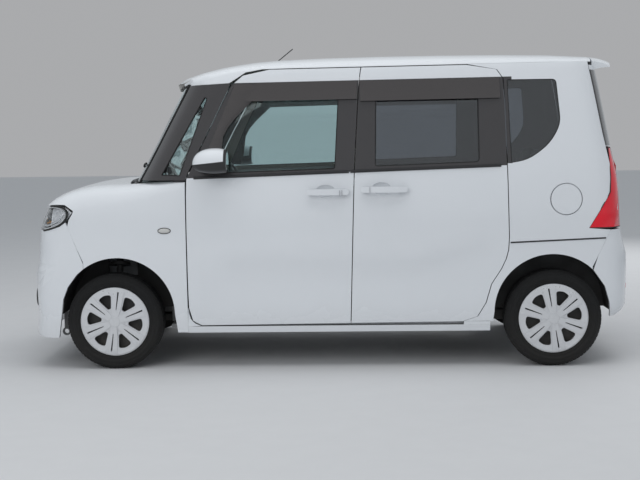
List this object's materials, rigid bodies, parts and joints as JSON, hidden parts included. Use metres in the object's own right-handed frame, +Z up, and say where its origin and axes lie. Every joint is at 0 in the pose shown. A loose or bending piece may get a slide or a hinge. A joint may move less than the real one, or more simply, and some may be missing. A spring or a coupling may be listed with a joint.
{
  "type": "kei car",
  "caption": "Tall small passenger car with hinged front doors, fixed sliding rear doors, opening bonnet and tailgate, steering front wheels and a furnished cabin.",
  "frame": {"origin": "on the ground under the middle of the car's overall box", "axes": "+X towards the rear, +Y to the car's right, +Z up"},
  "size_m": [3.3952, 1.8612, 1.8284],
  "materials": {
    "white_paint": "gloss",
    "black_trim": "satin",
    "clear_glass": "gloss",
    "dark_glass": "gloss",
    "smoked_visor": "gloss",
    "lamp_clear": "gloss",
    "lamp_red": "gloss",
    "tyre_rubber": "matte",
    "cover_silver": "satin metallic",
    "body_metal": "matte",
    "chassis_black": "satin",
    "engine_metal": "rough",
    "exhaust_steel": "satin",
    "seat_fabric": "woven",
    "interior_plastic": "grained"
  },
  "bodies": {
    "body": {"floor_pan": "body_metal", "front_frame": "body_metal", "front_fenders": "white_paint", "front_bumper": "white_paint", "grille": "black_trim", "headlamps": "lamp_clear", "cowl": "black_trim", "windscreen": "clear_glass", "pillars": "black_trim", "front_quarter_glass": "clear_glass", "roof": "white_paint", "antenna": "black_trim", "quarter_panels": "white_paint", "quarter_glass": "dark_glass", "tail_lamps": "lamp_red", "rear_bumper": "white_paint", "rear_doors": "white_paint", "rear_door_glass": "dark_glass", "rear_door_visors": "smoked_visor", "rear_door_handles": "white_paint", "dashboard": "interior_plastic", "front_seats": "seat_fabric", "rear_seat": "seat_fabric", "engine": "engine_metal", "front_subframe": "chassis_black", "rear_axle": "chassis_black", "rear_dampers": "chassis_black", "fuel_tank": "chassis_black", "exhaust": "exhaust_steel", "wheel_liners": "black_trim"},
    "bonnet": {"bonnet": "white_paint"},
    "tailgate": {"tailgate": "white_paint", "tailgate_glass": "dark_glass"},
    "fuel_lid": {"fuel_lid": "white_paint"},
    "steering_wheel": {"steering_wheel": "interior_plastic"},
    "front_door_left": {"front_door_left": "white_paint", "front_door_glass_left": "clear_glass", "front_door_visor_left": "smoked_visor", "front_door_handle_left": "white_paint", "mirror_left": "white_paint"},
    "knuckle_left": {"knuckle_left": "chassis_black"},
    "front_door_right": {"front_door_right": "white_paint", "front_door_glass_right": "clear_glass", "front_door_visor_right": "smoked_visor", "front_door_handle_right": "white_paint", "mirror_right": "white_paint"},
    "knuckle_right": {"knuckle_right": "chassis_black"},
    "wheel_front_left": {"tyre_front_left": "tyre_rubber", "wheel_front_left": "cover_silver"},
    "wheel_front_right": {"tyre_front_right": "tyre_rubber", "wheel_front_right": "cover_silver"},
    "wheel_rear_left": {"tyre_rear_left": "tyre_rubber", "wheel_rear_left": "cover_silver"},
    "wheel_rear_right": {"tyre_rear_right": "tyre_rubber", "wheel_rear_right": "cover_silver"}
  },
  "joints": [
    {"name": "front_door_left_hinge", "type": "hinge", "parent": "body", "child": "front_door_left", "pos_m": [-0.748, -0.728, 0.785], "axis": [0, 0, -1], "range_deg": [0, 68]},
    {"name": "front_door_right_hinge", "type": "hinge", "parent": "body", "child": "front_door_right", "pos_m": [-0.748, 0.728, 0.785], "axis": [0, 0, 1], "range_deg": [0, 68]},
    {"name": "bonnet_hinge", "type": "hinge", "parent": "body", "child": "bonnet", "pos_m": [-1.1235, 0, 1.027], "axis": [0, 1, 0], "range_deg": [0, 55]},
    {"name": "tailgate_hinge", "type": "hinge", "parent": "body", "child": "tailgate", "pos_m": [1.4925, 0, 1.71961], "axis": [0, -1, 0], "range_deg": [0, 80]},
    {"name": "fuel_lid_hinge", "type": "hinge", "parent": "body", "child": "fuel_lid", "pos_m": [1.2185, -0.72277, 0.936], "axis": [0, 0, -1], "range_deg": [0, 85]},
    {"name": "steer_left", "type": "hinge", "parent": "body", "child": "knuckle_left", "pos_m": [-1.2075, -0.625, 0.175], "axis": [0, 0.2515, 0.9679], "range_deg": [-34, 34]},
    {"name": "steer_right", "type": "hinge", "parent": "body", "child": "knuckle_right", "pos_m": [-1.2075, 0.625, 0.175], "axis": [0, -0.2515, 0.9679], "range_deg": [-34, 34]},
    {"name": "steering_wheel_turn", "type": "hinge", "parent": "body", "child": "steering_wheel", "pos_m": [-0.5675, 0.31, 0.97], "axis": [0.8829, 0, 0.4695], "range_deg": [-476, 476]},
    {"name": "wheel_front_left_spin", "type": "hinge", "parent": "knuckle_left", "child": "wheel_front_left", "pos_m": [-1.2075, -0.65, 0.27], "axis": [0, 1, 0], "continuous": true},
    {"name": "wheel_front_right_spin", "type": "hinge", "parent": "knuckle_right", "child": "wheel_front_right", "pos_m": [-1.2075, 0.65, 0.27], "axis": [0, 1, 0], "continuous": true},
    {"name": "wheel_rear_left_spin", "type": "hinge", "parent": "body", "child": "wheel_rear_left", "pos_m": [1.2525, -0.65, 0.27], "axis": [0, 1, 0], "continuous": true},
    {"name": "wheel_rear_right_spin", "type": "hinge", "parent": "body", "child": "wheel_rear_right", "pos_m": [1.2525, 0.65, 0.27], "axis": [0, 1, 0], "continuous": true}
  ],
  "couplings": [
    {"joint": "steer_right", "follows": "steer_left", "ratio": 1},
    {"joint": "steering_wheel_turn", "follows": "steer_left", "ratio": 14}
  ]
}
